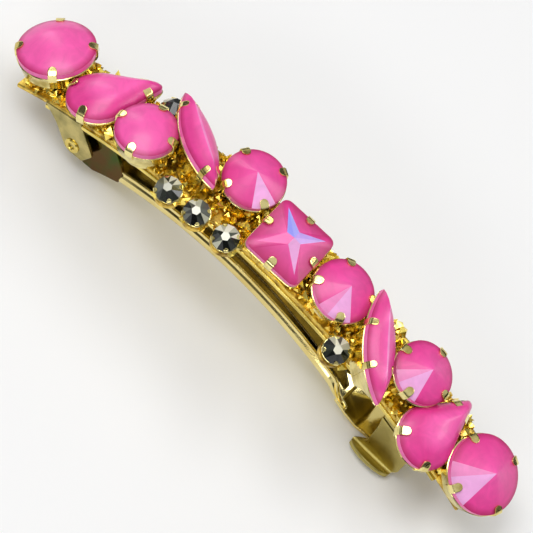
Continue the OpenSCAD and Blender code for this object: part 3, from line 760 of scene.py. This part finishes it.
def star_square(length):
    """The square stone: a low point in the middle, four kites out to near its corners, and long facets
    down to its sides."""
    line = square_line(length)
    count, per = len(line), len(line) // 4
    h = length / 2
    point = np.array([[0, 0, GIRDLE_HALF + 2.2]])
    shoulder = lifted(polar(0.13 * length, np.radians(90 * np.arange(4))), GIRDLE_HALF + 1.9)
    kite_tip = lifted(0.74 * h * np.array([[1, 1], [-1, 1], [-1, -1], [1, -1]]), GIRDLE_HALF + 0.62)
    rims = [lifted(line, high) for high in (GIRDLE_HALF, -GIRDLE_HALF)]
    corners = np.vstack([point, shoulder, kite_tip, *rims, [[0, 0, -GIRDLE_HALF - 2.4]]])
    top, low, keel = 9, 9 + count, len(corners) - 1
    # Painted reflections: the kites are painted lilac and pale flash, one is lit pink, and the long facets
    # are painted darker toward the girdle as painted shade.
    kite_painted_light = (LILAC_PAINTED_REFLECTION * 0.5 + PAINTED_FLASH * 0.5, LILAC_PAINTED_REFLECTION, PINK_PAINTED_LIT, PAINTED_FLASH * 0.9)
    faces, tints = [], []
    for k in range(4):
        s0, s1, tip = 1 + k, 1 + (k + 1) % 4, 5 + k
        painted_kite_tint = kite_painted_light[k]
        faces += [[0, s0, tip], [0, tip, s1]]
        tints += [[painted_kite_tint] * 3, [painted_kite_tint * (0.82, 0.85, 1.0) if k < 2 else painted_kite_tint] * 3]
        arc = [top + k * per + j for j in range(per)]
        for j in range(per - 1):
            faces.append([tip, arc[j], arc[j + 1]])
            tints.append([PINK, PINK_PAINTED_SHADE, PINK_PAINTED_SHADE])
        faces += [[s0, arc[0], tip], [s1, tip, arc[-1]], [s1, arc[-1], top + ((k + 1) % 4) * per]]
        tints += [[PINK_PAINTED_LIT, PINK_PAINTED_SHADE, PINK], [PINK, PINK, PINK_PAINTED_SHADE]]
        tints += [[PINK_PAINTED_LIT, PINK_PAINTED_SHADE, PINK_PAINTED_SHADE]]
    for j in range(count):
        n = (j + 1) % count
        faces += [[top + j, low + j, low + n, top + n], [low + j, keel, low + n]]
        tints += [[PINK_GIRDLE] * 4, [PINK_PAINTED_SHADE] * 3]
    return corners, faces, tints


pink_glass = foiled_glass("hot pink glass", 0.34, 0.12)
WITH_PAINTED_FLASH = [number for number, (_, _, bright) in PAINTED_FLASHES.items() if bright]
for number, seat in enumerate(SEATS):
    kind, length, width = seat[:3]
    if kind == "round":
        corners, faces, tints = rivoli(length, *PAINTED_FLASHES[number])
    elif kind == "square":
        corners, faces, tints = star_square(length)
    else:
        corners, faces, tints = ringed(kind, length, width)
    lean, spot = seat_place(seat)
    node = f"stone_{number + 1:02d}_{kind}"
    stone_mesh = tinted_mesh(f"pink_{kind}_{number + 1:02d}", corners @ lean.T + spot, faces, tints)
    crease = 8 if kind == "square" or number in WITH_PAINTED_FLASH else 30
    piece(stone_mesh, "base", pink_glass, "pink_glass", [node], crease=crease)

# ---- Small dark stones ----
# Five little round stones in black foiled glass stand low in the gaps along the edges, leaned outward.
# Long three-cornered facets run from a small table to the girdle, and each is painted a grey from black to
# cream: a painted reflection.
dark_glass = foiled_glass("black foiled glass", 0.16, 0.3)
DARK_D = 4.2
painted_mirror_greys = np.array([
    [0.004, 0.005, 0.004], [0.02, 0.024, 0.018], [0.1, 0.11, 0.085], [0.5, 0.5, 0.38], [0.86, 0.84, 0.68],
])
# The facets that face this way round are painted pale as a painted reflection of the room's bright side; the
# others are painted darker, down to black.
PAINTED_BRIGHT_SIDE = math.radians(120)  # the way round a stone that mirrors the bright side of the room


def dark_place(seat):
    """The turn and the place of a small stone's girdle: leaned with the arch and tipped outward."""
    along, y, lift, tip = seat
    lean, spot = on_arch(along, y, lift)
    return lean @ turned("X", tip), spot


for number, seat in enumerate(DARK_SEATS):
    radius = DARK_D / 2
    start = math.radians(17 * number)
    sixth, twelfth = start + np.radians(60 * np.arange(6)), start + np.radians(30 * np.arange(12))
    rings = ((0.34, 1.3, sixth), (1.0, 0.15, twelfth), (1.0, -0.15, twelfth), (0.02, -1.4, twelfth))
    corners = np.vstack([lifted(polar(share * radius, angles), high) for share, high, angles in rings])
    rim_at, low_at, back_at = 6, 18, 30
    faces = [list(range(6))]
    for k in range(6):
        n, rims = (k + 1) % 6, [rim_at + (2 * k + j) % 12 for j in range(3)]
        faces += [[k, rims[0], rims[1]], [k, rims[1], n], [n, rims[1], rims[2]]]
    for j in range(12):
        n = (j + 1) % 12
        faces.append([rim_at + j, low_at + j, low_at + n, rim_at + n])
        faces.append([low_at + j, back_at + j, back_at + n, low_at + n])
    faces.append([back_at + j for j in range(12)][::-1])
    middles = np.array([corners[face].mean(0) for face in faces])
    # Painted reflection: each facet's grey is picked by which way it faces, shuffled a little at random.
    facing = np.cos(np.arctan2(middles[:, 1], middles[:, 0]) - PAINTED_BRIGHT_SIDE)
    grade = np.round(1.6 + 2.1 * facing + draw.normal(0, 1.0, len(faces)))
    picked = painted_mirror_greys[np.clip(grade, 0, len(painted_mirror_greys) - 1).astype(int)]
    tints = [np.tile(tone, (len(face), 1)) for tone, face in zip(picked, faces)]
    lean, spot = dark_place(seat)
    dark_mesh = tinted_mesh(f"dark_round_{number + 1:02d}", corners @ lean.T + spot, faces, tints)
    piece(dark_mesh, "base", dark_glass, "dark_glass", [f"dark_stone_{number + 1:02d}"], crease=8)

# ---- Claw settings ----
# Each stone sits in an open cup of gilt metal. Four flat claws rise from the cup's foot, pass the girdle
# and are pressed down over the crown's edge, with rounded ends.
setting_gold = gold("setting gold", (0.96, 0.84, 0.36), (0.5, 0.38, 0.09), 0.14, patch=420)


def claw_grid(foot, depth, slope, half_wide, size):
    """A claw's outer face at the girdle's edge, x outward: its centre line goes up the cup, past the
    girdle and over the crown, and its half width closes to a half circle at the end."""
    s = size
    line = np.array([
        [-foot, -depth], [-foot + 0.45 * (foot - 0.1), -depth * 0.55], [-0.05, -1.15 * s],
        [0.1 * s, -0.6 * s], [0.1 * s, 0.1 * s], [0.12 * s, 0.52 * s],
        [-0.18 * s, (0.62 + 0.25 * slope) * s], [-0.62 * s, (0.56 + 0.68 * slope) * s],
        [-1.18 * s, (0.5 + 1.2 * slope) * s],
    ])
    length = np.concatenate([[0], np.cumsum(np.linalg.norm(np.diff(line, axis=0), axis=1))])
    straight = length[-1] - half_wide
    round_end = straight + half_wide * np.sin(np.linspace(0, math.pi / 2, 8)[1:])
    to_end = np.concatenate([np.linspace(0, straight, 18), round_end])
    x, z = np.interp(to_end, length, line[:, 0]), np.interp(to_end, length, line[:, 1])
    short = np.clip((to_end - straight) / half_wide, 0, 1)
    half = half_wide * np.sqrt(np.maximum(1 - short ** 2, 0.0025))
    return grid_of(x[:, None], half[:, None] * np.linspace(-1, 1, 7), z[:, None])


def stand(grid, x, y, degrees):
    """A claw moved from the origin to the girdle's edge and turned to face outward."""
    return grid @ turned("Z", degrees).T + [x, y, 0]


def round_claws(radius, first):
    """Where four claws stand round a circle: [x, y, outward angle] for each."""
    return [(*polar(radius, math.radians(a))[0], a) for a in (first, first + 90, first + 180, first + 270)]


def fancy_claws(kind, length, width, share):
    """Where a fancy stone's claws stand on its outline: [x, y, outward angle] for each."""
    if kind == "square":
        return round_claws(length / 2, 0)
    if kind == "drop":
        a, shift = width / 2, (length - width) / 2
        tip = length - a
        rise = math.acos(a / tip)
        sx, sy = polar(a, rise)[0]
        back_x, back_y = polar(a, math.radians(135))[0]
        round_end = [(back_x - shift, side * back_y, side * 135) for side in (-1, 1)]
        flank_x = sx + (tip - sx) * 0.62 - shift
        return round_end + [(flank_x, side * sy * 0.38, side * math.degrees(rise)) for side in (-1, 1)]
    r = (length ** 2 + width ** 2) / 4 / width
    a = math.asin(length * share / r)
    x, y = r * math.sin(a), r * math.cos(a) - r + width / 2
    return [(end * x, side * y, side * (90 - end * math.degrees(a))) for end in (-1, 1) for side in (-1, 1)]


def claw_setting(name, node, cup, claw, places, place, **finish):
    """A setting: its cup, and a claw stood at each of its places, moved to the stone's girdle."""
    lean, spot = place
    grids = [cup] + [(stand(claw, *where), False, False) for where in places]
    mesh = surface_mesh(name, [(points @ lean.T + spot, rows, columns) for points, rows, columns in grids])
    piece(mesh, "base", setting_gold, "gold_setting", [node], side=0, **finish)


bed_depth = GIRDLE_R - BED_R
for number, seat in enumerate(SEATS):
    kind, length, width, lift, share = *seat[:3], seat[5], seat[9]
    depth = bed_depth + lift
    size = 0.78 if kind == "navette" else 1
    if kind == "round":
        radius = length / 2
        cup_line = np.array([
            [radius - 1.5, -depth], [radius - 1.35, -depth * 0.62], [radius - 0.5, -depth * 0.58],
            [radius - 0.35, -1.1], [radius - 0.02, -0.5],
        ])
        cup = (revolved(cup_line, 64), True, False)
        places = round_claws(radius, share)
        claw = claw_grid(2.2, depth, 0.5, 0.66, size)
    else:
        outline = square_line(length) if kind == "square" else OUTLINES[kind](length, width, 96)
        drawn_in = 2.6 if kind == "navette" else 1
        insets = ((1.6, -depth), (1.3, -depth * 0.7), (0.8, -depth * 0.42), (0.4, -1.2), (0.02, -0.5))
        cup_rows = [
            lifted(outline * [1 - 2 * drawn_in * inset / length, 1 - 2 * inset / width], high)
            for inset, high in insets
        ]
        cup = (np.stack(cup_rows), False, True)
        places = fancy_claws(kind, length, width, share)
        slope = {"navette": 1.15, "drop": 0.95, "square": 0.66}[kind]
        claw = claw_grid(1.7, depth, slope, 0.66 * size, size)
    name, node = f"claw_cup_{number + 1:02d}", f"setting_{number + 1:02d}_{kind}"
    claw_setting(name, node, cup, claw, places, seat_place(seat), wall=0.3 * size, bevel=0.07, crease=50)

for number, seat in enumerate(DARK_SEATS):
    radius = DARK_D / 2
    depth = bed_depth + seat[2] + 0.3
    cup_line = np.array([[radius - 0.8, -depth], [radius - 0.45, -depth * 0.55], [radius - 0.02, -0.28]])
    cup = (revolved(cup_line, 40), True, False)
    claw = claw_grid(0.8, depth, 0.55, 0.34, 0.42)
    name, node = f"small_claw_cup_{number + 1:02d}", f"small_setting_{number + 1:02d}"
    claw_setting(name, node, cup, claw, round_claws(radius, 45), dark_place(seat), wall=0.2, bevel=0.04)
